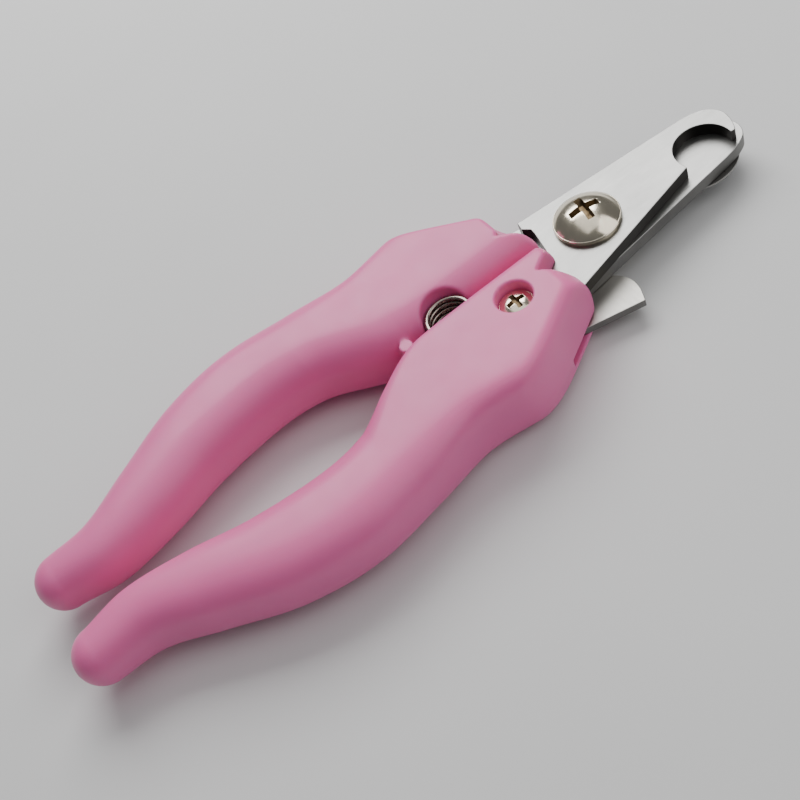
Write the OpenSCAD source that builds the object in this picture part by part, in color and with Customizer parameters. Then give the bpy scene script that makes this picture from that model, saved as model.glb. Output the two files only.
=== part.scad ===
// Pet nail trimmer: two mirrored moulded handles, two crossing half-moon blades, pivot screw,
// opening spring, safety lock lever and swinging nail guard. Millimetres, +X to the blade tip, +Z up.
// The origin is under the middle of the tool, on the surface that it lies on.

/* [Overall] */
// Length of the closed tool, blade tip to handle end
overall_length = 124.6; // [120:0.2:130]
// Distance from the pivot axis to the tip of the lower blade
tip_reach = 28.2; // [27.6:0.1:29]
// Thickness of the handles at the head
head_thick = 12; // [11.8:0.1:13]

/* [Grips] */
// Thickness in the middle of a grip
grip_thick = 11.8; // [10:0.1:12]
// Radius of the rounded handle end
end_radius = 4.2; // [4:0.1:4.6]
// Half of the gap between the heads of the handles
gap_half = 0.9; // [0.7:0.1:1.2]

/* [Blades] */
// Thickness of each blade
blade_thick = 2.1; // [1.8:0.1:2.2]
// Height of the plane where the blades meet
blade_plane = 5.45; // [5.3:0.05:5.6]
// Radius of the half-moon cutting notch
notch_radius = 4.5; // [4:0.1:4.8]
// Radius of the lower blade's shallow cutting edge
crescent_r = 17; // [15:0.5:20]

/* [Pivot] */
// Radius of the domed screw head
pivot_head_r = 5.15; // [4.5:0.05:5.2]
// Height of the dome above its rim
pivot_dome = 2.2; // [1.2:0.1:2.6]
// Radius of the barrel that the blades turn on
barrel_r = 2.5; // [2.2:0.1:2.8]

/* [Lock and guard] */
// Thickness of the lock lever
lever_thick = 1.3; // [1.1:0.05:1.4]
// Thickness of the nail guard plate
guard_thick = 0.4; // [0.3:0.05:0.45]
// Radius of the guard's round end
guard_r = 6.9; // [6.5:0.1:7.1]

/* [Spring] */
// Mean radius of the spring's turns
coil_r = 3.4; // [3:0.1:3.4]
// Diameter of the spring wire
wire_d = 1; // [0.8:0.05:1]

/* [Hidden] */
eps = 0.01;
pivot_x = overall_length / 2 - tip_reach;
handle_end = -(overall_length - tip_reach);
mid_z = head_thick / 2;
play = 0.05;

// Heights of the layers in the pivot stack
upper_z = blade_plane;
lower_z = blade_plane - play - blade_thick;
guard_z = lower_z - play - guard_thick;
nut_washer_t = 0.35;
nut_washer_z = guard_z - play - nut_washer_t;
flange_t = 1.5;
flange_z = nut_washer_z - flange_t;
head_washer_t = 0.35;
head_z = upper_z + blade_thick + head_washer_t;

// Handle outlines, for the +Y handle: [x from the pivot, y]
end_x = handle_end + end_radius;
end_y = 7.5;
shoulder = [-22.8, 19.3];
nose = [-7.9, 10.3];
outer_edge = [[end_x, end_y + end_radius], [-85, 12], [-77, 15.6], [-66, 20.4], [-54, 22.3],
              [-43, 20.7], [-33, 18.3], shoulder];
inner_edge = [[end_x, end_y - end_radius], [-85, 2.2], [-75, 3.8], [-65, 6.5], [-54, 7.8],
              [-46, 6.8], [-39.5, 3.7], [-34.5, 1.5], [-31, gap_half]];
half_thick = [[end_x, end_radius], [-78, 5.3], [-60, grip_thick / 2], [-44, 5.9], [-34, mid_z],
              [-28, mid_z + 0.15], [nose[0], mid_z + 0.15]];
// Squareness of the cross-section: 2 is an ellipse, larger is squarer
squareness = [[end_x, 2.1], [-60, 2.5], [-44, 2.6], [-30, 4.5], [nose[0], 5]];
notch_v = [[-4, 1.6], [-8.4, 2.7], [-10.3, 3.9], [-12.3, 5.1], [-11.2, 6.1], [-9.2, 7.3], [-4, 9.2]];
// How fast the nose rolls back above and below its middle
nose_roll = 0.09;
// The far handle's nose is set back above its middle
back_nose = [-8.4, 8.8];
back_nose_side = [[nose[0] + 1, mid_z], [-9.4, 7.5], [-10.5, 9], [-11, 10], [-11.7, head_thick + 1],
                  [0, head_thick + 1], [0, mid_z]];

// Handle screws
screw_xy = [-17.6, 6.5];
recess_r = 2.75;
recess_floor = head_thick - 2.3;
screw_head_r = 2.55;
shank_r = 1.3;
small_barrel_r = 2;
small_flange_r = 3;

// Lock lever, pivoted on the front handle's barrel nut
lever_z = lower_z - 2 * play - lever_thick;
lever_eye_r = 3.9;
lever_open = -38;
slot_low = lever_z - 0.1;
slot_high = lever_z + lever_thick + 0.35;
lever_washer_t = 0.25;

// Spring
coil_x = -25.5;
pocket_r = 4.2;
turn_pitch = wire_d + 0.02;
coil_turns = 5;
coil_low = 4.7;
arm_length = 8.5;
back_arm_z = coil_low - turn_pitch - 0.06;
front_arm_z = coil_low + coil_turns * turn_pitch + 0.06;
arm_groove = wire_d / 2 + 0.3;

// Blades
notch_at = [20.6, -2.1];
heel = [-7.2, 8.15];
cusp = [16.2, -3.55];
tang = [[-8.2, -2], [-11, -3.2], [-20, -4.4], [-22.6, -6.4], [-22.6, -9.2], [-20, -10.8],
        [-12, -10.3], [-6.8, -8.95]];
swing_r = norm(heel) + 0.3;

pink = [0.93, 0.66, 0.76];
steel = [0.78, 0.78, 0.77];
nickel = [0.8, 0.76, 0.68];

// ---- curves ----

// Index of the stretch of an [x, y] list that holds x
function stretch(pts, x, i = 0) =
    (i >= len(pts) - 2 || x <= pts[i + 1][0]) ? i : stretch(pts, x, i + 1);

function slope_at(pts, i) =
    let (a = pts[max(i - 1, 0)], b = pts[min(i + 1, len(pts) - 1)])
    (b[1] - a[1]) / (b[0] - a[0]);

// Smooth curve through an [x, y] list, read at x
function curve_y(pts, x) =
    let (i = stretch(pts, x), w = pts[i + 1][0] - pts[i][0],
         t = min(1, max(0, (x - pts[i][0]) / w)))
    (2 * t * t * t - 3 * t * t + 1) * pts[i][1]
    + (t * t * t - 2 * t * t + t) * w * slope_at(pts, i)
    + (3 * t * t - 2 * t * t * t) * pts[i + 1][1]
    + (t * t * t - t * t) * w * slope_at(pts, i + 1);

// Smooth curve through plain points, with steps pieces between each pair
function smooth(p, steps) = concat([for (i = [0:len(p) - 2], s = [0:steps - 1])
    let (t = s / steps, a = p[max(i - 1, 0)], b = p[i], c = p[i + 1], d = p[min(i + 2, len(p) - 1)])
    0.5 * (2 * b + (c - a) * t + (2 * a - 5 * b + 4 * c - d) * t * t
           + (3 * b - a - 3 * c + d) * t * t * t)], [p[len(p) - 1]]);

function signed_power(v, e) = sign(v) * pow(abs(v), e);

// ---- handles ----

function facet_y(x) = shoulder[1] + (x - shoulder[0]) * (nose[1] - shoulder[1]) / (nose[0] - shoulder[0]);
function outer_y(x) = x <= shoulder[0] ? curve_y(outer_edge, x) : facet_y(x);

// One ring of a handle: a rounded cross-section at x, drawn in by size (1 is full)
function ring(x, size, sides) =
    let (at = max(x, end_x), low = curve_y(inner_edge, at), high = outer_y(at),
         e = 2 / curve_y(squareness, at), h = curve_y(half_thick, at))
    [for (k = [0:sides - 1]) let (a = 360 * k / sides)
        [x, (low + high) / 2 + size * (high - low) / 2 * signed_power(cos(a), e),
         min(head_thick, max(0, mid_z + size * h * signed_power(sin(a), e)))]];

ring_sides = 40;
cap_rings = [for (a = [4:12:76]) ring(end_x - end_radius * cos(a), sin(a), ring_sides)];
grip_rings = [for (x = [end_x:3.4:-34]) ring(x, 1, ring_sides)];
head_rings = [for (x = [-32, -29, -26, shoulder[0], -18, -13, nose[0] - 1]) ring(x, 1, ring_sides)];
front_rings = [ring(nose[0] - 0.35, 0.985, ring_sides), ring(nose[0], 0.93, ring_sides)];
all_rings = concat(cap_rings, grip_rings, head_rings, front_rings);

// The moulding as one skin over its rings
module moulding() {
    n = ring_sides;
    last = len(all_rings) - 1;
    points = [for (r = all_rings, p = r) p];
    sides = [for (i = [0:last - 1], k = [0:n - 1])
        [i * n + k, i * n + (k + 1) % n, (i + 1) * n + (k + 1) % n, (i + 1) * n + k]];
    split = [for (q = sides) each [[q[0], q[2], q[1]], [q[0], q[3], q[2]]]];
    rear = [[for (k = [0:n - 1]) k]];
    front = [[for (k = [n - 1:-1:0]) last * n + k]];
    polyhedron(points = points, faces = concat(split, rear, front));
}

// What both handles have: the V between spike and nose, the nose's rounding, and room for the
// other blade's heel
module moulding_notches(heel_z) {
    translate([0, 0, -1]) linear_extrude(head_thick + 2) polygon(notch_v);
    translate([0, 30, 0]) rotate([90, 0, 0]) linear_extrude(30 - 5) polygon(concat(
        [for (dz = [-7:1:7]) [nose[0] + 0.1 - nose_roll * dz * dz, mid_z + dz]],
        [[0, mid_z + 7], [0, mid_z - 7]]));
    translate([0, 0, heel_z - 0.1]) cylinder(h = blade_thick + 0.2, r = swing_r, $fn = 96);
}

module tang_pocket(z) {
    translate([0, 0, z - 0.03]) linear_extrude(blade_thick + 0.06) polygon(tang);
}

module arm_slot(z) {
    translate([coil_x - arm_length - 0.6, 0, z - arm_groove])
        cube([arm_length + 0.6, coil_r + arm_groove, 2 * arm_groove]);
}

module front_handle() {
    color(pink) translate([pivot_x, 0, 0]) difference() {
        mirror([0, 1, 0]) moulding();
        mirror([0, 1, 0]) moulding_notches(lower_z);
        tang_pocket(upper_z);
        translate([screw_xy[0], -screw_xy[1], 0]) {
            translate([0, 0, recess_floor]) cylinder(h = 5, r = recess_r, $fn = 64);
            translate([0, 0, -1]) cylinder(h = head_thick, r = shank_r + play, $fn = 48);
            translate([0, 0, -1]) cylinder(h = upper_z + 1, r = small_barrel_r + play, $fn = 48);
            translate([0, 0, -1]) cylinder(h = 2.3, r = small_flange_r + play, $fn = 48);
            translate([0, 0, slot_low])
                cylinder(h = slot_high - slot_low, r = lever_eye_r + 0.5, $fn = 64);
        }
        translate([0, 0, slot_low]) linear_extrude(slot_high - slot_low) polygon(lever_room);
        translate([coil_x, 0, -1]) cylinder(h = 11.8, r = pocket_r, $fn = 64);
        mirror([0, 1, 0]) arm_slot(front_arm_z);
    }
}

module back_handle() {
    stop_at = [-33, gap_half - 0.4, 5];
    color(pink) translate([pivot_x, 0, 0]) difference() {
        union() {
            moulding();
            translate(stop_at) cylinder(h = 4.5, r = 1.1, $fn = 32);
        }
        moulding_notches(upper_z);
        translate([0, 30, 0]) rotate([90, 0, 0]) linear_extrude(30 - 5) polygon(back_nose_side);
        translate([0, 0, -1]) linear_extrude(head_thick + 2)
            polygon([shoulder, back_nose, [0, back_nose[1]], [0, 25]]);
        mirror([0, 1, 0]) tang_pocket(lower_z);
        translate([screw_xy[0], screw_xy[1], 0]) {
            translate([0, 0, -1]) cylinder(h = 2.3 + 1, r = recess_r, $fn = 64);
            translate([0, 0, -1]) cylinder(h = 10.2, r = shank_r + play, $fn = 48);
            translate([0, 0, insert_z]) cylinder(h = insert_len, r = small_barrel_r, $fn = 48);
        }
        translate([coil_x, 0, 2.5]) cylinder(h = 12, r = pocket_r, $fn = 64);
        arm_slot(back_arm_z);
    }
}

// ---- blades ----

// The stamped blank, as in the upper blade: outer edge on +Y, cutting side and tang on -Y
module blade_blank(tip_extra) {
    t = [tip_extra, 0];
    tip = smooth([[22.2, 4.9], [24.4, 4.35] + t / 2, [26.2, 3.2] + t, [27.2, 1.2] + t,
                  [26.9, -1] + t, [26, -3] + t / 2, [25.5, -3.3]], 5);
    difference() {
        polygon(concat([heel], tip, [cusp, [-6.8, -8.95]],
            [for (i = [len(tang) - 2:-1:0]) tang[i]], [[-6.7, 4.4], [-6.6, 5.5], [-7.5, 6.6]]));
        circle(r = barrel_r + play, $fn = 64);
        translate([screw_xy[0], -screw_xy[1]]) circle(r = shank_r + play, $fn = 48);
    }
}

// Half-moon notch, open to the cutting side
module upper_blade() {
    color(steel) translate([pivot_x, 0, upper_z]) linear_extrude(blade_thick) difference() {
        blade_blank(0);
        translate(notch_at) circle(r = notch_radius, $fn = 72);
        translate(notch_at + [-notch_radius + 0.05, -4]) square([2 * notch_radius - 0.05, 4]);
    }
}

// Shallow crescent edge that closes the notch
module lower_blade() {
    reach = -2.65;
    color(steel) translate([pivot_x, 0, lower_z]) mirror([0, 1, 0])
        linear_extrude(blade_thick) difference() {
            blade_blank(tip_reach - 27.25);
            translate([notch_at[0] + 0.2, reach - crescent_r]) circle(r = crescent_r, $fn = 128);
        }
}

// ---- pivot ----

// Cross-shaped driver recess
module cross_recess(span, width, depth) {
    for (a = [0, 90]) rotate(a) translate([-span / 2, -width / 2, -depth])
        cube([span, width, depth + 3]);
}

// Spherical cap with its rim at z = 0
module dome(r, h) {
    ball = (r * r + h * h) / (2 * h);
    intersection() {
        translate([0, 0, h - ball]) sphere(r = ball, $fn = 96);
        cylinder(h = h + 1, r = r, $fn = 96);
    }
}

module pivot_screw() {
    rim_h = 0.5;
    color(nickel) translate([pivot_x, 0, head_z]) difference() {
        union() {
            cylinder(h = rim_h, r = pivot_head_r, $fn = 96);
            translate([0, 0, rim_h - eps]) dome(pivot_head_r, pivot_dome);
            translate([0, 0, flange_z + 0.4 - head_z])
                cylinder(h = head_z - flange_z - 0.4 + eps, r = 1.5, $fn = 48);
        }
        rotate(80) translate([0, 0, rim_h + pivot_dome]) cross_recess(5.4, 1.3, 1.4);
    }
}

module head_washer() {
    color(nickel) translate([pivot_x, 0, upper_z + blade_thick]) difference() {
        cylinder(h = head_washer_t, r = pivot_head_r - 0.25, $fn = 96);
        translate([0, 0, -1]) cylinder(h = 3, r = 1.5 + play, $fn = 48);
    }
}

module pivot_barrel_nut() {
    color(nickel) translate([pivot_x, 0, flange_z]) difference() {
        union() {
            cylinder(h = flange_t, r = 4.3, $fn = 6);
            cylinder(h = upper_z + blade_thick - 0.1 - flange_z, r = barrel_r, $fn = 64);
        }
        translate([0, 0, -1]) cylinder(h = 14, r = 1.5 + play / 2, $fn = 48);
    }
}

module nut_washer() {
    color(nickel) translate([pivot_x, 0, nut_washer_z]) difference() {
        cylinder(h = nut_washer_t, r = 4.1, $fn = 64);
        translate([0, 0, -1]) cylinder(h = 3, r = barrel_r + play, $fn = 64);
    }
}

// ---- guard and lock ----

guard_at = [20.6, 1];

module nail_guard() {
    neck = smooth([[4, 4.2], [9, 3.9], [13.5, 4.4], [16.2, 5.9]], 4);
    color(steel) translate([pivot_x, 0, guard_z]) difference() {
        union() {
            cylinder(h = guard_thick, r = 5.2, $fn = 64);
            translate([guard_at[0], guard_at[1], 0]) cylinder(h = guard_thick, r = guard_r, $fn = 96);
            linear_extrude(guard_thick) polygon(concat([[0, 4.9]], neck, [[18, 2], [18, -2]],
                [[16.4, -4.2], [13, -3.7], [8, -3.7], [4, -4.2], [0, -4.9]]));
        }
        translate([0, 0, -1]) cylinder(h = 3, r = barrel_r + play, $fn = 64);
    }
}

lever_pin = [screw_xy[0], -screw_xy[1]];
// The lever's lower edge is a straight line that just touches its eye
lever_corner = [-2.4, -14.7];
edge_angle = atan2(lever_corner[1] - lever_pin[1], lever_corner[0] - lever_pin[0])
             + asin(lever_eye_r / norm(lever_corner - lever_pin));
function around_pin(a, r) = lever_pin + r * [cos(a), sin(a)];
// Room for the lever from its locked place to fully open
lever_room = [around_pin(edge_angle + lever_open - 90, lever_eye_r + 0.45),
              around_pin(edge_angle + lever_open - 90, lever_eye_r + 0.45)
                  + 22 * [cos(edge_angle + lever_open), sin(edge_angle + lever_open)],
              [-4, -27], [-4, -2.1], around_pin(90, lever_eye_r + 0.45)];

module lock_lever() {
    lobe = smooth([[-7.5, -6.1], [-4.5, -6.5], [-2.4, -7.7], [-1.25, -9.8], [-1.35, -12.2],
                   lever_corner], 5);
    pin = [lever_pin[0], lever_pin[1], 0];
    color(steel) translate([pivot_x, 0, lever_z]) difference() {
        union() {
            translate(pin) cylinder(h = lever_thick, r = lever_eye_r, $fn = 64);
            linear_extrude(lever_thick) polygon(concat([around_pin(edge_angle - 90, lever_eye_r),
                lever_pin, around_pin(60, lever_eye_r - 0.2), [-12, -4.6]], lobe));
        }
        translate(pin - [0, 0, 1]) cylinder(h = 4, r = small_barrel_r + play, $fn = 48);
    }
}

module lever_washer() {
    color(nickel) translate([pivot_x + lever_pin[0], lever_pin[1], slot_high - lever_washer_t])
        difference() {
            cylinder(h = lever_washer_t - 0.02, r = 3.3, $fn = 64);
            translate([0, 0, -1]) cylinder(h = 3, r = small_barrel_r + play, $fn = 48);
        }
}

// ---- handle screws and nuts ----

// Small pan-head screw, head up, with its seat at z = 0
module small_screw(length) {
    rim_h = 0.5;
    difference() {
        union() {
            cylinder(h = rim_h, r = screw_head_r, $fn = 64);
            translate([0, 0, rim_h - eps]) dome(screw_head_r, 0.75);
            translate([0, 0, -length]) cylinder(h = length + eps, r = shank_r, $fn = 48);
        }
        rotate(20) translate([0, 0, rim_h + 0.75]) cross_recess(2.9, 0.75, 0.85);
    }
}

module front_handle_screw() {
    color(nickel) translate([pivot_x + lever_pin[0], lever_pin[1], recess_floor])
        small_screw(recess_floor - 1.6);
}

module front_barrel_nut() {
    color(nickel) translate([pivot_x + lever_pin[0], lever_pin[1], 0.3]) difference() {
        union() {
            cylinder(h = 1, r = small_flange_r, $fn = 48);
            cylinder(h = upper_z - 0.35, r = small_barrel_r, $fn = 48);
        }
        translate([0, 0, -1]) cylinder(h = 8, r = shank_r + play / 2, $fn = 48);
    }
}

insert_z = lower_z + blade_thick + 0.3;
insert_len = 4.2;

module back_handle_screw() {
    color(nickel) translate([pivot_x + screw_xy[0], screw_xy[1], 2.3]) rotate([180, 0, 0])
        small_screw(insert_z + insert_len - 2.3 - 1);
}

module back_insert_nut() {
    color(nickel) translate([pivot_x + screw_xy[0], screw_xy[1], insert_z]) difference() {
        cylinder(h = insert_len, r = small_barrel_r, $fn = 48);
        translate([0, 0, -1]) cylinder(h = 8, r = shank_r + play / 2, $fn = 48);
    }
}

// ---- spring ----

// A stack of closed turns; neighbours in one stack just run into each other
module turns(count, z) {
    rotate_extrude($fn = 64) for (i = [0:count - 1])
        translate([coil_r, z + i * turn_pitch]) circle(d = wire_d + 0.06, $fn = 20);
}

// One end of the wire: most of a turn, then straight back along the handle
module spring_arm(z, side) {
    translate([0, 0, z]) mirror([0, side > 0 ? 1 : 0, 0]) {
        rotate(270) rotate_extrude(angle = 300, $fn = 64)
            translate([coil_r, 0]) circle(d = wire_d, $fn = 20);
        translate([0, -coil_r, 0]) rotate([0, -90, 0])
            cylinder(h = arm_length, d = wire_d, $fn = 20);
    }
}

module spring_coil() {
    color(steel) translate([pivot_x + coil_x, 0, 0])
        turns(coil_turns, coil_low);
}

module spring_front_arm() {
    color(steel) translate([pivot_x + coil_x, 0, 0]) spring_arm(front_arm_z, -1);
}

module spring_back_arm() {
    color(steel) translate([pivot_x + coil_x, 0, 0]) spring_arm(back_arm_z, 1);
}

front_handle();
back_handle();
upper_blade();
lower_blade();
pivot_screw();
head_washer();
pivot_barrel_nut();
nut_washer();
nail_guard();
lock_lever();
lever_washer();
front_handle_screw();
front_barrel_nut();
back_handle_screw();
back_insert_nut();
spring_coil();
spring_front_arm();
spring_back_arm();
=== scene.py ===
"""Looks of the pet nail trimmer: moulded handles, stamped blades, screws, spring, lock and guard."""
import math

import bmesh
import bpy
import numpy as np
from mathutils import Matrix, Vector

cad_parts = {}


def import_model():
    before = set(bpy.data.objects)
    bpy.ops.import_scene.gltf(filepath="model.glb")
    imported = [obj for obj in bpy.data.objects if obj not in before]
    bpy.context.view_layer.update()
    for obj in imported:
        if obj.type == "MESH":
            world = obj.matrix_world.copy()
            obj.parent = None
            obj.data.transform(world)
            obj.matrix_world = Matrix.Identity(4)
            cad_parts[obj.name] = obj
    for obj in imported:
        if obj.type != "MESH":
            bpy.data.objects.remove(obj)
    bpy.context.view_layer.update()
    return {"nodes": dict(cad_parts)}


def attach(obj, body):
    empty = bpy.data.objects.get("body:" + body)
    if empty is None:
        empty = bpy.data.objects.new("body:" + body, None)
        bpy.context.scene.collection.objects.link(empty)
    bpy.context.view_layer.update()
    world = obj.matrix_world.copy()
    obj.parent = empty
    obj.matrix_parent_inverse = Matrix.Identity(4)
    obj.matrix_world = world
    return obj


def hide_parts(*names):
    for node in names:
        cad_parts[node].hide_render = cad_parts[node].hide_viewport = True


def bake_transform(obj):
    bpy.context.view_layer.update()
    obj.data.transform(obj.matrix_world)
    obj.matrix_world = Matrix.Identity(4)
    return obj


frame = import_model()
MM = 0.001
PX = 34.1


def world(p):
    """Millimetres from the pivot axis to the frame's metres."""
    p = np.asarray(p, float)
    return (p + np.array([PX, 0, 0])) * MM


# ---------------------------------------------------------------- sizes, mm from the pivot

HEAD_T, MID = 12.0, 6.0
END_R, END_Y, END_X = 4.2, 7.5, -92.2
GAP = 0.9
SHOULDER, NOSE, BACK_NOSE = (-22.8, 19.3), (-7.9, 10.3), (-8.4, 8.8)
# How far the far handle's nose is set back at each height
SET_BACK = [(0, 3.0), (3, 0.9), (6, 0.8), (7.5, 2.1), (9, 3.1), (10, 3.5), (12, 4.0)]
OUTER = [(END_X, END_Y + END_R), (-85, 12.0), (-77, 15.6), (-66, 20.4), (-54, 22.3),
         (-43, 20.7), (-33, 18.3), (-22.8, 19.4), (-8, 19.6)]
INNER = [(END_X, END_Y - END_R), (-85, 2.2), (-75, 3.8), (-65, 6.5), (-54, 7.8),
         (-46, 6.8), (-39.5, 3.7), (-34.5, 1.5), (-31, GAP), (-8, GAP)]
HALF = [(END_X, END_R), (-78, 5.3), (-60, 5.9), (-44, 5.9), (-34, 6.0), (-28, 6.15), (-8, 6.15)]
SQUARE = [(END_X, 2.1), (-60, 2.5), (-44, 2.6), (-30, 4.5), (-8, 5.0)]
NOTCH_V = [(-4, 1.6), (-8.4, 2.7), (-10.3, 3.9), (-12.3, 5.1), (-11.2, 6.1), (-9.2, 7.3), (-4, 9.2)]
UPPER_Z, LOWER_Z, BLADE_T = 5.45, 3.3, 2.1
GUARD_Z, GUARD_T = 2.85, 0.4
LEVER_Z, LEVER_T = 1.9, 1.3
SCREW = (-17.6, 6.5)
RECESS_Z = HEAD_T - 2.3
COIL_X, COIL_R, WIRE = -25.5, 3.36, 0.82
POCKET_R = 4.0
ARM_SLOT, ARM_REACH = 9.1, 8.1
STOP_AT, STOP_R = (-33, 0.5), 1.1
SCREW_R, PIVOT_R = 2.55, 5.15
BORE_R = 2.55
CRESCENT_R = 17
HEEL_R = 11.17


def curve_y(pts, x):
    """The same smooth curve through [x, y] points as the CAD's outlines."""
    px = np.array([p[0] for p in pts], float)
    py = np.array([p[1] for p in pts], float)
    slope = np.empty(len(pts))
    for i in range(len(pts)):
        a, b = max(i - 1, 0), min(i + 1, len(pts) - 1)
        slope[i] = (py[b] - py[a]) / (px[b] - px[a])
    i = np.clip(np.searchsorted(px, x) - 1, 0, len(pts) - 2)
    w = px[i + 1] - px[i]
    t = np.clip((x - px[i]) / w, 0, 1)
    return ((2 * t**3 - 3 * t**2 + 1) * py[i] + (t**3 - 2 * t**2 + t) * w * slope[i]
            + (3 * t**2 - 2 * t**3) * py[i + 1] + (t**3 - t**2) * w * slope[i + 1])


def smooth_line(p, steps):
    """Catmull-Rom points through p."""
    p = np.asarray(p, float)
    out = []
    for i in range(len(p) - 1):
        a, b, c, d = p[max(i - 1, 0)], p[i], p[i + 1], p[min(i + 2, len(p) - 1)]
        for s in range(steps):
            t = s / steps
            out.append(0.5 * (2 * b + (c - a) * t + (2 * a - 5 * b + 4 * c - d) * t**2
                              + (3 * b - a - 3 * c + d) * t**3))
    out.append(p[-1])
    return [tuple(q) for q in out]


# ---------------------------------------------------------------- handle skins from a distance field

def smax(a, b, k):
    """Larger of two fields, with the corner between them rounded over about k."""
    h = np.clip(0.5 + 0.5 * (a - b) / k, 0, 1)
    return b + (a - b) * h + k * h * (1 - h)


def polygon_field(pts, x, y):
    """Signed distance in the plane to a polygon, negative inside."""
    pts = np.asarray(pts, float)
    best = np.full(x.shape, 1e9)
    inside = np.zeros(x.shape, bool)
    for i in range(len(pts)):
        ax, ay = pts[i]
        bx, by = pts[i - 1]
        ex, ey = bx - ax, by - ay
        t = np.clip(((x - ax) * ex + (y - ay) * ey) / (ex * ex + ey * ey), 0, 1)
        best = np.minimum(best, np.hypot(x - ax - t * ex, y - ay - t * ey))
        if ay != by:
            inside ^= ((ay > y) != (by > y)) & (x < ex * (y - ay) / (by - ay) + ax)
    return np.where(inside, -best, best)


def slab(z, low, high):
    """Field of the layer between two heights."""
    return np.maximum(low - z, z - high)


def surface_nets(field, low, step):
    """Quads on the zero level of a field that is negative inside."""
    inside = field < 0
    n = np.array(field.shape) - 1
    total = np.zeros((*n, 3))
    count = np.zeros(n)
    corners = [(i, j, k) for i in (0, 1) for j in (0, 1) for k in (0, 1)]

    def part(a, c):
        return a[c[0]:c[0] + n[0], c[1]:c[1] + n[1], c[2]:c[2] + n[2]]

    for c in corners:
        for axis in range(3):
            if c[axis]:
                continue
            d = tuple(v + (a == axis) for a, v in enumerate(c))
            fa, fb = part(field, c), part(field, d)
            cross = part(inside, c) != part(inside, d)
            t = np.where(cross, fa / np.where(cross, fa - fb, 1), 0)
            for a in range(3):
                total[..., a] += np.where(cross, c[a] + (t if a == axis else 0), 0)
            count += cross
    active = count > 0
    index = np.full(n, -1)
    index[active] = np.arange(active.sum())
    cells = np.argwhere(active)
    verts = low + step * (cells + total[active] / count[active][:, None])
    faces = []
    for axis in range(3):
        u, v = [a for a in range(3) if a != axis]
        here = np.moveaxis(inside, axis, 0)
        flip = here[:-1] != here[1:]
        pos = np.argwhere(flip)
        start = here[:-1][flip]
        cell = np.zeros((len(pos), 3), int)
        cell[:, axis], cell[:, u], cell[:, v] = pos[:, 0], pos[:, 1], pos[:, 2]
        quad = []
        for du, dv in ((-1, -1), (0, -1), (0, 0), (-1, 0)):
            q = cell.copy()
            q[:, u] += du
            q[:, v] += dv
            quad.append(index[q[:, 0], q[:, 1], q[:, 2]])
        quad = np.stack(quad, 1)
        if axis == 1:
            start = ~start
        quad[~start] = quad[~start][:, ::-1]
        faces.append(quad)
    return verts, np.concatenate(faces)


def relax(verts, faces, rounds, amount=0.5):
    """Evens out a quad mesh by moving each vertex towards the middle of its neighbours."""
    a = faces.ravel()
    b = np.roll(faces, -1, axis=1).ravel()
    src, dst = np.concatenate([a, b]), np.concatenate([b, a])
    deg = np.bincount(src, minlength=len(verts))[:, None]
    for i in range(rounds):
        push = amount if i % 2 == 0 else -amount * 1.04
        mean = np.stack([np.bincount(src, verts[dst, k], len(verts)) for k in range(3)], 1) / deg
        verts = verts + push * (mean - verts)
    return verts


def handle_field(x, y, z, near):
    """The bare moulding on +Y: rounded grip, boxy head, cut end facet and blunt nose."""
    nose = NOSE if near else BACK_NOSE
    at = np.maximum(x, END_X)
    low, high = curve_y(INNER, at), curve_y(OUTER, at)
    half, p = curve_y(HALF, at), curve_y(SQUARE, at)
    mid, w = (low + high) / 2, (high - low) / 2
    # The edge along the gap: crisp on the near handle's top, well rounded on the far one's
    head = np.clip((x + 46) / 14, 0, 1)
    p = np.where((z > MID) & (y < mid), p + head * (3.0 if near else -1.6), p)
    q = (np.abs((y - mid) / w)**p + np.abs((z - MID) / half)**p + 1e-12)**(1 / p)
    q = np.sqrt(q**2 + (np.minimum(x - END_X, 0) / END_R)**2)
    d = (q - 1) * np.minimum(w, half)
    d = smax(d, slab(z, 0, HEAD_T), 0.35)
    # End facet: from the shoulder to the nose, leaning in slightly towards the top
    fx, fy = nose[0] - SHOULDER[0], nose[1] - SHOULDER[1]
    n = math.hypot(fx, fy)
    facet = (x - SHOULDER[0]) * (-fy / n) + (y - SHOULDER[1]) * (fx / n)
    facet = facet + 0.12 * (z - 4.0) * (z > 4.0)
    d = smax(d, facet - 0.25, 2.0) if near else smax(d, facet, 0.9)
    # Nose: rolls over at the top and the bottom; the far handle's is set back above its middle
    spike = 0.055 * (z - MID)**2
    blunt = 0.097 * (z - MID)**2
    if not near:
        blunt = np.interp(z, *zip(*SET_BACK))
    share = np.clip((y - 4.2) / 1.6, 0, 1)
    return smax(d, x - NOSE[0] - 0.15 + spike * (1 - share) + blunt * share, 0.8)


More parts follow.
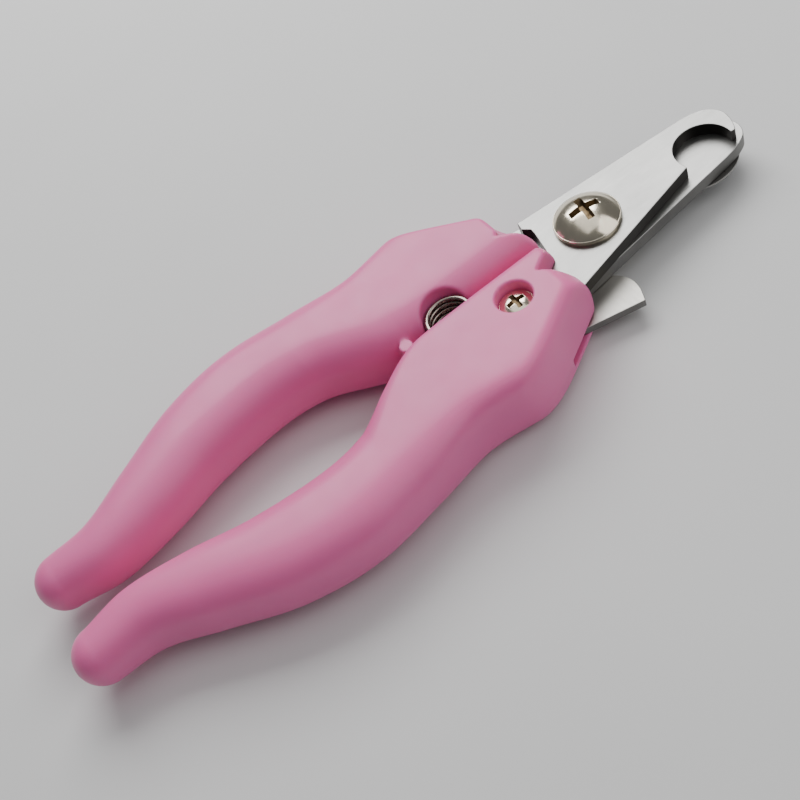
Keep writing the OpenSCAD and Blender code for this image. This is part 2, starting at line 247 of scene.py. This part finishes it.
def handle_mesh(sign, step):
    """The handle on the side given by sign, with everything that is let into it."""
    low = np.array([-97.6, -2.4, -0.8])
    size = np.ceil((np.array([-7.2, 22.8, 13.3]) - low) / step).astype(int)
    x = (low[0] + step * np.arange(size[0]))[:, None, None]
    y = (low[1] + step * np.arange(size[1]))[None, :, None]
    z = (low[2] + step * np.arange(size[2]))[None, None, :]
    d = handle_field(x, y, z, near=sign < 0)
    xp, yp = np.broadcast_arrays(x[..., 0], y[..., 0])
    d = smax(d, -polygon_field(NOTCH_V, xp, yp)[..., None], 0.6)
    heel_z = LOWER_Z if sign < 0 else UPPER_Z
    tang_z = UPPER_Z if sign < 0 else LOWER_Z
    heel = np.maximum(np.hypot(x, y) - HEEL_R, slab(z, heel_z - 0.1, heel_z + BLADE_T + 0.1))
    d = smax(d, -heel, 0.25)
    tang = [(a, -b) for a, b in TANG]
    tang = np.maximum(polygon_field(tang, xp, yp)[..., None] - 0.03,
                      slab(z, tang_z - 0.04, tang_z + BLADE_T + 0.04))
    d = smax(d, -tang, 0.15)
    bore = np.hypot(x - SCREW[0], y - SCREW[1])
    # Bores on the screw's axis, each radius, from, to and edge rounding
    if sign < 0:
        stack = [(2.75, RECESS_Z, 20, 0.4), (1.37, -2, 14, 0.1), (2.05, -2, UPPER_Z, 0.1),
                 (3.05, -2, 1.3, 0.3)]
        slot = np.minimum(polygon_field([(a, -b) for a, b in LEVER_ROOM], xp, yp),
                          np.hypot(xp - SCREW[0], yp - SCREW[1]) - 4.4)
        slot = np.maximum(slot[..., None], slab(z, LEVER_Z - 0.1, LEVER_Z + LEVER_T + 0.35))
        d = smax(d, -slot, 0.25)
        pocket, arm_z = slab(z, -3, 10.8), COIL_TOP
    else:
        stack = [(2.75, -3, 2.3, 0.4), (1.37, -2, 9.2, 0.1)]
        nub = np.maximum(np.hypot(x - STOP_AT[0], y - STOP_AT[1]) - STOP_R, slab(z, 5, 9.5))
        d = -smax(-d, -nub, 0.5)
        pocket, arm_z = slab(z, 2.5, 20), COIL_LOW
    for r, z0, z1, k in stack:
        d = smax(d, -np.maximum(bore - r, slab(z, z0, z1)), k)
    d = smax(d, -np.maximum(np.hypot(x - COIL_X, y) - POCKET_R, pocket), 0.3)
    arm = np.maximum(np.maximum(slab(x, COIL_X - ARM_SLOT, COIL_X), slab(y, -9, COIL_R + 0.8)),
                     slab(z, arm_z - 0.8, arm_z + 0.8))
    d = smax(d, -arm, 0.3)
    d = np.broadcast_to(d, tuple(size)).copy()
    for side in (d[0], d[-1], d[:, 0], d[:, -1], d[:, :, 0], d[:, :, -1]):
        np.maximum(side, 0.1, out=side)
    verts, faces = surface_nets(d, low, step)
    verts = relax(verts, faces, 6)
    if sign < 0:
        verts[:, 1] *= -1
        faces = faces[:, ::-1]
    return verts, faces


# ---------------------------------------------------------------- outlines of the stamped parts

TANG = [(-8.2, -2), (-11, -3.2), (-20, -4.4), (-22.6, -6.4), (-22.6, -9.2), (-20, -10.8),
        (-12, -10.3), (-6.8, -8.95)]
NOTCH_AT, NOTCH_R = (20.6, -2.1), 4.5
COIL_LOW, COIL_TOP = 3.62, 9.86
PIN = (SCREW[0], -SCREW[1])
EYE_R = 3.9
CORNER = (-2.4, -14.7)
_dx, _dy = CORNER[0] - PIN[0], CORNER[1] - PIN[1]
EDGE_ANGLE = math.atan2(_dy, _dx) + math.asin(EYE_R / math.hypot(_dx, _dy))


def around_pin(a, r):
    return (PIN[0] + r * math.cos(a), PIN[1] + r * math.sin(a))


_open = EDGE_ANGLE - math.radians(38)
_low = around_pin(_open - math.pi / 2, EYE_R + 0.45)
LEVER_ROOM = [_low, (_low[0] + 22 * math.cos(_open), _low[1] + 22 * math.sin(_open)),
              (-4, -27), (-4, -2.1), around_pin(math.pi / 2, EYE_R + 0.45)]


def arc(centre, r, a0, a1, steps):
    return [(centre[0] + r * math.cos(math.radians(a0 + (a1 - a0) * i / steps)),
             centre[1] + r * math.sin(math.radians(a0 + (a1 - a0) * i / steps)))
            for i in range(steps + 1)]


def blade_outline(extra, cutting):
    """Outer edge on +Y, cutting side and tang on -Y, clockwise from the heel."""
    e = extra
    tip = smooth_line([(22.2, 4.9), (24.4 + e / 2, 4.35), (26.2 + e, 3.2), (27.2 + e, 1.2),
                       (26.9 + e, -1), (26 + e / 2, -3), (25.5, -3.3)], 7)
    rear = [(-6.7, 4.4), (-6.6, 5.5), (-7.5, 6.6)]
    return [(-7.2, 8.15)] + tip + cutting + [(-6.8, -8.95)] + TANG[-2::-1] + rear


def notch_edge():
    """Half-moon cutting notch with its two lips."""
    return [(25.05, -3.2)] + arc(NOTCH_AT, NOTCH_R, -3, 183, 30) + [(16.15, -3.5)]


def crescent_edge():
    """Shallow concave edge under the notch."""
    centre = (NOTCH_AT[0] + 0.2, -2.65 - CRESCENT_R)
    a = math.degrees(math.acos(4.75 / CRESCENT_R))
    return arc(centre, CRESCENT_R, a, 180 - a, 20) + [(15.6, -3.62)]


# ---------------------------------------------------------------- mesh helpers

def new_object(name, verts, faces, material, smooth=True):
    me = bpy.data.meshes.new(name)
    me.from_pydata([tuple(v) for v in verts], [], [tuple(f) for f in faces])
    me.validate()
    ob = bpy.data.objects.new(name, me)
    bpy.context.scene.collection.objects.link(ob)
    me.materials.append(material)
    if smooth:
        me.polygons.foreach_set("use_smooth", [True] * len(me.polygons))
    return ob


def apply_modifiers(ob):
    """Leaves the object with the mesh its modifiers make."""
    deps = bpy.context.evaluated_depsgraph_get()
    me = bpy.data.meshes.new_from_object(ob.evaluated_get(deps))
    ob.modifiers.clear()
    old, ob.data = ob.data, me
    bpy.data.meshes.remove(old)


def sharpen(ob, degrees):
    """Smooth shading with creases only where the surface turns more than this."""
    me = ob.data
    me.polygons.foreach_set("use_smooth", [True] * len(me.polygons))
    me.set_sharp_from_angle(angle=math.radians(degrees))


def plate(name, outline, holes, z0, thick, edge, material, side, mirror=False):
    """A stamped plate with slightly rounded edges."""
    cu = bpy.data.curves.new(name, "CURVE")
    cu.dimensions = "2D"
    cu.fill_mode = "BOTH"
    cu.extrude = (thick / 2 - edge) * MM
    cu.bevel_depth = edge * MM
    cu.bevel_resolution = 2
    cu.offset = -edge * MM
    rings = [outline] + [arc(c, r, 0, 360 * (1 - 1 / 72), 71) for c, r in holes]
    for ring in rings:
        sp = cu.splines.new("POLY")
        sp.points.add(len(ring) - 1)
        for p, (x, y) in zip(sp.points, ring):
            p.co = ((x + PX) * MM, y * (-1 if mirror else 1) * MM, 0, 1)
        sp.use_cyclic_u = True
    tmp = bpy.data.objects.new(name + "_curve", cu)
    bpy.context.scene.collection.objects.link(tmp)
    deps = bpy.context.evaluated_depsgraph_get()
    me = bpy.data.meshes.new_from_object(tmp.evaluated_get(deps))
    bpy.data.objects.remove(tmp)
    me.name = name
    ob = bpy.data.objects.new(name, me)
    bpy.context.scene.collection.objects.link(ob)
    bm = bmesh.new()
    bm.from_mesh(me)
    bmesh.ops.remove_doubles(bm, verts=bm.verts, dist=1e-6)
    bmesh.ops.translate(bm, verts=bm.verts, vec=(0, 0, (z0 + thick / 2) * MM))
    bmesh.ops.recalc_face_normals(bm, faces=bm.faces)
    bm.to_mesh(me)
    bm.free()
    me.materials.clear()
    me.materials.append(material)
    me.materials.append(side)
    for poly in me.polygons:
        poly.material_index = 1 if abs(poly.normal.z) < 0.3 else 0
    sharpen(ob, 12)
    return ob


def lathe(name, profile, material, segments=96):
    """Turned part from an [r, z] profile that starts and ends on the axis."""
    verts, faces = [], []
    rings = []
    for r, z in profile:
        if r < 1e-6:
            rings.append([len(verts)])
            verts.append((0, 0, z))
        else:
            rings.append(list(range(len(verts), len(verts) + segments)))
            for s in range(segments):
                a = 2 * math.pi * s / segments
                verts.append((r * math.cos(a), r * math.sin(a), z))
    for a, b in zip(rings, rings[1:]):
        for s in range(segments):
            t = (s + 1) % segments
            if len(a) == 1:
                faces.append((a[0], b[s], b[t]))
            elif len(b) == 1:
                faces.append((a[s], b[0], a[t]))
            else:
                faces.append((a[s], b[s], b[t], a[t]))
    ob = new_object(name, verts, faces, material)
    bm = bmesh.new()
    bm.from_mesh(ob.data)
    bmesh.ops.recalc_face_normals(bm, faces=bm.faces)
    bm.to_mesh(ob.data)
    bm.free()
    return ob


def cross_cutter(span, width, depth, top):
    """Tapered cross with a pointed floor, as a driver leaves it."""
    cutters = []
    for turn in (0, math.pi / 2):
        s, w = span / 2, width / 2
        v = [(-s, -w, top), (s, -w, top), (s, w, top), (-s, w, top)]
        s2, w2 = s * 0.52, w * 0.62
        v += [(-s2, -w2, -depth), (s2, -w2, -depth), (s2, w2, -depth), (-s2, w2, -depth)]
        f = [(0, 1, 2, 3), (7, 6, 5, 4), (4, 5, 1, 0), (5, 6, 2, 1), (6, 7, 3, 2), (7, 4, 0, 3)]
        me = bpy.data.meshes.new("cutter")
        me.from_pydata(v, [], f)
        me.transform(Matrix.Rotation(turn, 4, "Z"))
        ob = bpy.data.objects.new("cutter", me)
        bpy.context.scene.collection.objects.link(ob)
        cutters.append(ob)
    return cutters


def screw_head(name, r, rim, dome, span, width, depth, turn, place, material, inner,
               flip=False, shank=1.3, length=5):
    """Domed head with a thin rim, a cross recess and its shank."""
    ball = (r * r * 0.972**2 + dome * dome) / (2 * dome)
    top = rim + dome
    prof = [(0, -length), (shank - 0.25, -length), (shank, -length + 0.25), (shank, 0),
            (r - 0.16, 0.0), (r - 0.03, 0.06), (r, 0.18), (r - 0.02, rim - 0.12), (r - 0.12, rim - 0.02),
            (r * 0.978, rim + 0.01)]
    for i in range(1, 22):
        rr = r * 0.972 * math.cos(math.radians(90 * i / 22))
        prof.append((rr, rim + math.sqrt(max(ball * ball - rr * rr, 0)) - (ball - dome)))
    prof.append((0, top))
    ob = lathe(name, prof, material)
    for c in cross_cutter(span, width, depth, 0.6):
        c.data.transform(Matrix.Translation((0, 0, top)) @ Matrix.Rotation(turn, 4, "Z"))
        m = ob.modifiers.new("cut", "BOOLEAN")
        m.object, m.operation, m.solver = c, "DIFFERENCE", "EXACT"
    b = ob.modifiers.new("edge", "BEVEL")
    b.limit_method, b.angle_limit = "ANGLE", math.radians(40)
    b.width, b.segments = 0.07, 2
    cut = [m.object for m in ob.modifiers if m.type == "BOOLEAN"]
    apply_modifiers(ob)
    for c in cut:
        bpy.data.objects.remove(c)
    me = ob.data
    me.materials.clear()
    me.materials.append(material)
    me.materials.append(inner)
    for poly in me.polygons:
        c = poly.center
        poly.material_index = 0
        flat = math.hypot(c.x, c.y)
        on_dome = rim + math.sqrt(max(ball * ball - flat * flat, 0)) - (ball - dome)
        if flat < span / 2 + 0.02 and c.z > 0 and c.z < on_dome - 0.10:
            poly.material_index = 1
    spin = Matrix.Rotation(math.pi, 4, "X") if flip else Matrix.Identity(4)
    spot = world(place)
    me.transform(Matrix.Translation(spot) @ Matrix.Scale(MM, 4) @ spin)
    sharpen(ob, 38)
    return ob


def tube(name, path, radius, material, sides=14):
    """Round wire along a path, with rounded ends."""
    path = np.asarray(path, float)
    tang = np.gradient(path, axis=0)
    tang /= np.linalg.norm(tang, axis=1)[:, None]
    up = np.array([0, 0, 1.0])
    verts, faces = [], []
    scale = np.ones(len(path))
    scale[0] = scale[-1] = 0.55
    for p, t, s in zip(path, tang, scale):
        u = np.cross(up, t)
        u /= np.linalg.norm(u)
        v = np.cross(t, u)
        for k in range(sides):
            a = 2 * math.pi * k / sides
            verts.append(p + radius * s * (u * math.cos(a) + v * math.sin(a)))
    n = len(path)
    for i in range(n - 1):
        for k in range(sides):
            j = (k + 1) % sides
            faces.append((i * sides + k, i * sides + j, (i + 1) * sides + j, (i + 1) * sides + k))
    faces.append(tuple(range(sides))[::-1])
    faces.append(tuple((n - 1) * sides + k for k in range(sides)))
    return new_object(name, world(np.array(verts)), faces, material)


# ---------------------------------------------------------------- materials

def material(name, colour, metallic=0.0, rough=0.4, **sockets):
    m = bpy.data.materials.new(name)
    m.use_nodes = True
    nt = m.node_tree
    b = nt.nodes["Principled BSDF"]
    b.inputs["Base Color"].default_value = (*colour, 1)
    b.inputs["Metallic"].default_value = metallic
    b.inputs["Roughness"].default_value = rough
    for k, v in sockets.items():
        b.inputs[k.replace("_", " ")].default_value = v
    return m, nt, b


def noise(nt, scale, detail, stretch=(1, 1, 1), rough=0.55):
    tc = nt.nodes.new("ShaderNodeTexCoord")
    mp = nt.nodes.new("ShaderNodeMapping")
    mp.inputs["Scale"].default_value = stretch
    no = nt.nodes.new("ShaderNodeTexNoise")
    no.inputs["Scale"].default_value = scale
    no.inputs["Detail"].default_value = detail
    no.inputs["Roughness"].default_value = rough
    nt.links.new(tc.outputs["Object"], mp.inputs["Vector"])
    nt.links.new(mp.outputs["Vector"], no.inputs["Vector"])
    return no.outputs["Fac"]


def ramp(nt, fac, stops):
    r = nt.nodes.new("ShaderNodeValToRGB")
    r.color_ramp.elements[0].position, r.color_ramp.elements[0].color = stops[0][0], (*stops[0][1], 1)
    r.color_ramp.elements[1].position, r.color_ramp.elements[1].color = stops[-1][0], (*stops[-1][1], 1)
    for p, c in stops[1:-1]:
        r.color_ramp.elements.new(p).color = (*c, 1)
    nt.links.new(fac, r.inputs["Fac"])
    return r.outputs["Color"]


def bump(nt, b, fac, strength, distance, chain=None):
    n = nt.nodes.new("ShaderNodeBump")
    n.inputs["Strength"].default_value = strength
    n.inputs["Distance"].default_value = distance
    nt.links.new(fac, n.inputs["Height"])
    if chain is not None:
        nt.links.new(chain, n.inputs["Normal"])
    nt.links.new(n.outputs["Normal"], b.inputs["Normal"])
    return n.outputs["Normal"]


def grey(v):
    return (v, v, v)


def plastic():
    """Satin moulded plastic: faint mottling, fine moulded grain and slow ripples."""
    base = (0.79, 0.155, 0.385)
    m, nt, b = material("pink_plastic", base, rough=0.4, Specular_IOR_Level=0.45,
                        Subsurface_Weight=0.25, Subsurface_Scale=0.0035, Coat_Weight=0.12,
                        Coat_Roughness=0.28)
    b.inputs["Subsurface Radius"].default_value = (1.0, 0.35, 0.45)
    mott = noise(nt, 55, 3)
    lo, hi = [tuple(c * k for c in base) for k in (0.955, 1.035)]
    nt.links.new(ramp(nt, mott, [(0.3, lo), (0.7, hi)]), b.inputs["Base Color"])
    grain = noise(nt, 2600, 2)
    nt.links.new(ramp(nt, noise(nt, 240, 3), [(0.3, grey(0.36)), (0.7, grey(0.46))]),
                 b.inputs["Roughness"])
    first = bump(nt, b, noise(nt, 90, 2), 0.06, 0.0006)
    bump(nt, b, grain, 0.10, 0.00006, first)
    return m


def steel(name, colour, rough, line, direction, tarnish=0.06):
    """Ground steel: fine grinding lines, cloudy gloss and small dark scuffs."""
    m, nt, b = material(name, colour, 1.0, rough)
    clouds = noise(nt, 130, 4)
    lo, hi = [tuple(c * k for c in colour) for k in (1 - tarnish, 1 + tarnish * 0.5)]
    nt.links.new(ramp(nt, clouds, [(0.3, lo), (0.7, hi)]), b.inputs["Base Color"])
    lines = noise(nt, 4200, 4, direction, 0.65)
    nt.links.new(ramp(nt, lines, [(0.25, grey(rough - 0.05)), (0.75, grey(rough + 0.06))]),
                 b.inputs["Roughness"])
    first = bump(nt, b, lines, line, 0.00003)
    bump(nt, b, noise(nt, 70, 2), 0.03, 0.0004, first)
    return m


def nickel(name, colour, rough):
    """Plated screw: nearly a mirror, with faint turning marks and dimples."""
    m, nt, b = material(name, colour, 1.0, rough)
    nt.links.new(ramp(nt, noise(nt, 350, 3), [(0.3, grey(rough - 0.04)), (0.7, grey(rough + 0.07))]),
                 b.inputs["Roughness"])
    lo, hi = [tuple(c * k for c in colour) for k in (0.93, 1.04)]
    nt.links.new(ramp(nt, noise(nt, 420, 4), [(0.3, lo), (0.7, hi)]), b.inputs["Base Color"])
    bump(nt, b, noise(nt, 500, 2), 0.12, 0.00012)
    return m


def recess_dark_brown():
    """Dark brown on the walls and floor of a driver recess."""
    m, nt, b = material("recess_brown", (0.11, 0.075, 0.035), 0.85, 0.42)
    nt.links.new(ramp(nt, noise(nt, 900, 4), [(0.3, (0.05, 0.032, 0.015)), (0.75, (0.24, 0.17, 0.09))]),
                 b.inputs["Base Color"])
    bump(nt, b, noise(nt, 1500, 3), 0.3, 0.0001)
    return m


PINK = plastic()
BLADE = steel("blade_steel", (0.33, 0.328, 0.317), 0.36, 0.35, (0.07, 1.0, 1.0), 0.09)
PLATE = steel("plate_steel", (0.50, 0.485, 0.45), 0.44, 0.3, (1.0, 0.1, 1.0), 0.09)
NICKEL = nickel("nickel", (0.90, 0.81, 0.64), 0.17)
BROWN = recess_dark_brown()
EDGE = steel("sheared_edge", (0.20, 0.197, 0.19), 0.46, 0.5, (1.0, 1.0, 0.2), 0.25)
DARK = steel("cutting_edge", (0.05, 0.047, 0.044), 0.34, 0.4, (1.0, 1.0, 0.2), 0.3)
# Guard steel darkened far below the blade steel: painted shade for the dark gap under the lower blade.
GUARD_PAINTED_SHADE = steel("guard_steel", (0.16, 0.157, 0.15), 0.30, 0.2, (1.0, 0.2, 1.0), 0.1)
WIREM = steel("spring_wire", (0.36, 0.31, 0.27), 0.26, 0.2, (1, 1, 0.2))

# ---------------------------------------------------------------- the pieces

STEP = 0.25
for sign, node, body in ((-1, "front_handle", "front_half"), (1, "back_handle", "back_half")):
    verts, faces = handle_mesh(sign, STEP)
    ob = new_object(node + "_moulding", world(verts), faces, PINK)
    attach(ob, body)
    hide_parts(node)

SHANK_HOLE = ((SCREW[0], -SCREW[1]), 1.35)
upper = plate("upper_blade_steel", blade_outline(0, notch_edge()), [((0, 0), BORE_R), SHANK_HOLE],
              UPPER_Z, BLADE_T, 0.10, BLADE, DARK)
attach(upper, "front_half")
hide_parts("upper_blade")
lower = plate("lower_blade_steel", blade_outline(0.95, crescent_edge()), [((0, 0), BORE_R), SHANK_HOLE],
              LOWER_Z, BLADE_T, 0.10, BLADE, EDGE, mirror=True)
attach(lower, "back_half")
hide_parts("lower_blade")

GUARD_AT, GUARD_R = (20.6, 1.0), 6.9
neck_hi = smooth_line([(3.0, 4.2), (9, 3.9), (13.5, 4.4), (15.6, 5.75)], 6)
neck_lo = smooth_line([(16.0, -4.1), (13, -3.7), (8, -3.7), (3.0, -4.2)], 6)
guard_outline = (arc((0, 0), 5.2, 305.4, 54.6, 60) + neck_hi
                 + arc(GUARD_AT, GUARD_R, 135, -131.5, 70) + neck_lo)
# Guard faces in the darkened steel as painted shade; sides in the lighter blade steel as a painted bright
# rim.
guard = plate("nail_guard_plate", guard_outline, [((0, 0), BORE_R)], GUARD_Z, GUARD_T, 0.07, GUARD_PAINTED_SHADE, BLADE)
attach(guard, "nail_guard")
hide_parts("nail_guard")

lobe = smooth_line([(-12, -4.6), (-7.5, -6.1), (-4.5, -6.5), (-2.4, -7.7), (-1.25, -9.8), (-1.35, -12.2),
                    CORNER], 7)
eye_a = math.degrees(EDGE_ANGLE) - 90
lever_outline = lobe + arc(PIN, EYE_R, eye_a, eye_a - 215, 60)
lever = plate("lock_lever_plate", lever_outline, [(PIN, 2.05)], LEVER_Z, LEVER_T, 0.10, PLATE, EDGE)
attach(lever, "lock_lever")
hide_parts("lock_lever")

head_z = UPPER_Z + BLADE_T + 0.35
pivot = screw_head("pivot_screw_dome", PIVOT_R, 0.5, 2.2, 6.3, 1.4, 1.45, math.radians(80),
                   (0, 0, head_z), NICKEL, BROWN, shank=1.5, length=6.5)
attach(pivot, "front_half")
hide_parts("pivot_screw")
small = screw_head("front_handle_screw_head", SCREW_R, 0.5, 0.8, 3.9, 0.95, 0.9, math.radians(88),
                   (SCREW[0], -SCREW[1], RECESS_Z), NICKEL, BROWN, length=8.5)
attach(small, "front_half")
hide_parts("front_handle_screw")
under = screw_head("back_handle_screw_head", SCREW_R, 0.5, 0.8, 3.9, 0.95, 0.9, math.radians(88),
                   (SCREW[0], SCREW[1], 2.3), NICKEL, BROWN, flip=True, length=6.5)
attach(under, "back_half")
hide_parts("back_handle_screw")

# Spring: one wire as the coil with its front arm, and the back arm as a second wire left unattached
TURNS = 6


def helix(a0, a1, z0, z1, steps):
    t = np.linspace(0, 1, steps)
    a = np.radians(a0 + (a1 - a0) * t)
    return np.stack([COIL_X + COIL_R * np.cos(a), COIL_R * np.sin(a), z0 + (z1 - z0) * t], 1)


def straight(p, q, steps):
    t = np.linspace(0, 1, steps)[:, None]
    return np.asarray(p) * (1 - t) + np.asarray(q) * t


front_arm = straight((COIL_X - ARM_REACH, -COIL_R, COIL_TOP), (COIL_X - 0.3, -COIL_R, COIL_TOP), 14)
wound = helix(270, 270 + 360 * TURNS, COIL_TOP, COIL_LOW + 0.1, 48 * TURNS)
coil = tube("spring_coil_wire", np.concatenate([front_arm, wound]), WIRE / 2, WIREM)
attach(coil, "front_half")
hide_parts("spring_coil", "spring_front_arm")
last_turn = helix(270 - 6, 450 - 3, COIL_LOW, COIL_LOW, 30)
back_arm = straight((COIL_X - 0.3, COIL_R, COIL_LOW), (COIL_X - ARM_REACH, COIL_R, COIL_LOW), 30)
arm = tube("spring_back_wire", np.concatenate([last_turn, back_arm]), WIRE / 2, WIREM)
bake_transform(arm)
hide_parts("spring_back_arm")

# CAD parts whose shape is right keep it and get the plated finish
for name in ("head_washer", "pivot_barrel_nut", "nut_washer", "lever_washer", "front_barrel_nut",
             "back_insert_nut"):
    node = frame["nodes"][name]
    for slot in node.material_slots:
        slot.material = NICKEL

# ---------------------------------------------------------------- camera, floor and light

AZ, EL, ROLL = (math.radians(v) for v in (-9.83, 50.02, -30.08))
DIST, SIDE, RISE = 174.16, 27.70, 26.48
AIM = np.array([0, 0, UPPER_Z + BLADE_T])
back = np.array([math.sin(AZ) * math.cos(EL), -math.cos(AZ) * math.cos(EL), math.sin(EL)])
right = np.array([math.cos(AZ), math.sin(AZ), 0])
up = np.cross(back, right)
right2 = right * math.cos(ROLL) + up * math.sin(ROLL)
up2 = -right * math.sin(ROLL) + up * math.cos(ROLL)
cam = bpy.data.cameras.new("camera")
cam.sensor_width = 36
cam.lens = 53.06
cam.clip_start = 0.01
cam_ob = bpy.data.objects.new("camera", cam)
bpy.context.scene.collection.objects.link(cam_ob)
at = world(AIM - SIDE * right2 - RISE * up2 + DIST * back)
turn = np.stack([right2, up2, back], 1)
cam_ob.matrix_world = Matrix.Translation(Vector(at)) @ Matrix([list(r) for r in turn]).to_4x4()
bpy.context.scene.camera = cam_ob

floor_mat, nt, b = material("floor_paper", (0.68, 0.68, 0.675), rough=0.85)
nt.links.new(ramp(nt, noise(nt, 9, 3), [(0.3, (0.66, 0.66, 0.655)), (0.7, (0.70, 0.70, 0.695))]),
             b.inputs["Base Color"])
floor = new_object("floor", [(-3, -3, -0.0004), (3, -3, -0.0004), (3, 3, -0.0004), (-3, 3, -0.0004)],
                   [(0, 1, 2, 3)], floor_mat, smooth=False)


def area(name, place, target, size, power):
    li = bpy.data.lights.new(name, "AREA")
    li.shape = "RECTANGLE"
    li.size, li.size_y = size
    li.energy = power
    ob = bpy.data.objects.new(name, li)
    bpy.context.scene.collection.objects.link(ob)
    ob.location = place
    ob.rotation_euler = (Vector(target) - Vector(place)).to_track_quat("-Z", "Y").to_euler()


area("key", (0.13, 0.30, 0.34), (0.01, 0, 0), (0.46, 0.30), 2.7)
area("fill", (0.35, -0.35, 0.40), (0, 0, 0), (0.5, 0.5), 1.2)
area("top", (0.05, 0.0, 0.65), (0, 0, 0), (0.6, 0.6), 1.0)
w = bpy.data.worlds.new("studio")
bpy.context.scene.world = w
w.use_nodes = True
w.node_tree.nodes["Background"].inputs["Color"].default_value = (0.80, 0.82, 0.85, 1)
w.node_tree.nodes["Background"].inputs["Strength"].default_value = 0.17
